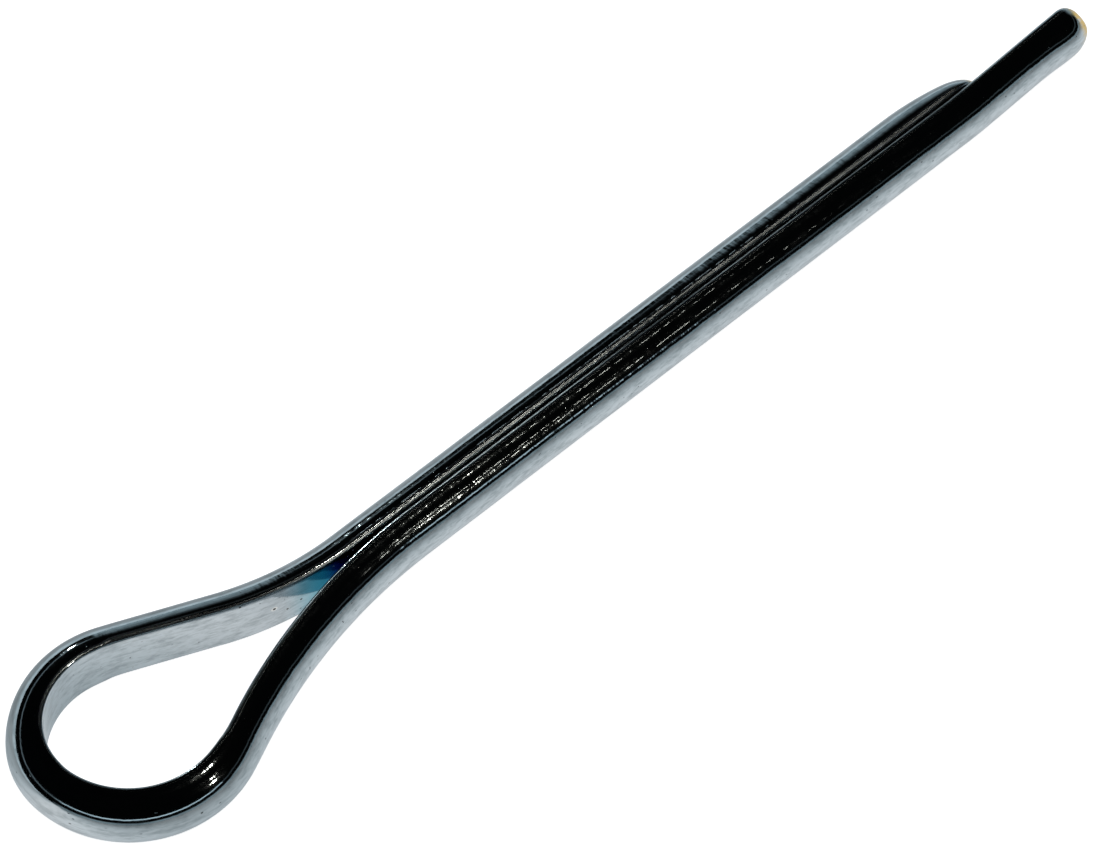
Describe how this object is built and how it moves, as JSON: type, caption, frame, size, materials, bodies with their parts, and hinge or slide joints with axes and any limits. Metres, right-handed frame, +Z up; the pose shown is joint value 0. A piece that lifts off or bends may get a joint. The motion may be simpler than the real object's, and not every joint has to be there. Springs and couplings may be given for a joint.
{
  "type": "cotter pin",
  "caption": "Split cotter pin folded from half-round steel wire: an eye at one end, and legs that close into a round shank, slid through a cross hole and bent apart to lock it.",
  "frame": {"origin": "on the shank's axis, at the end of the straight shank where the long leg bends away into the eye", "axes": "+X along the shank towards the tips, +Y towards the short leg, +Z up through the eye; the pin lies flat"},
  "size_m": [0.0593, 0.0098, 0.003],
  "materials": {
    "zinc_steel": "bright zinc plated steel wire, glossy, with fine drawing lines along the wire"
  },
  "bodies": {
    "root": {"cotter_pin": "zinc_steel"}
  },
  "joints": []
}
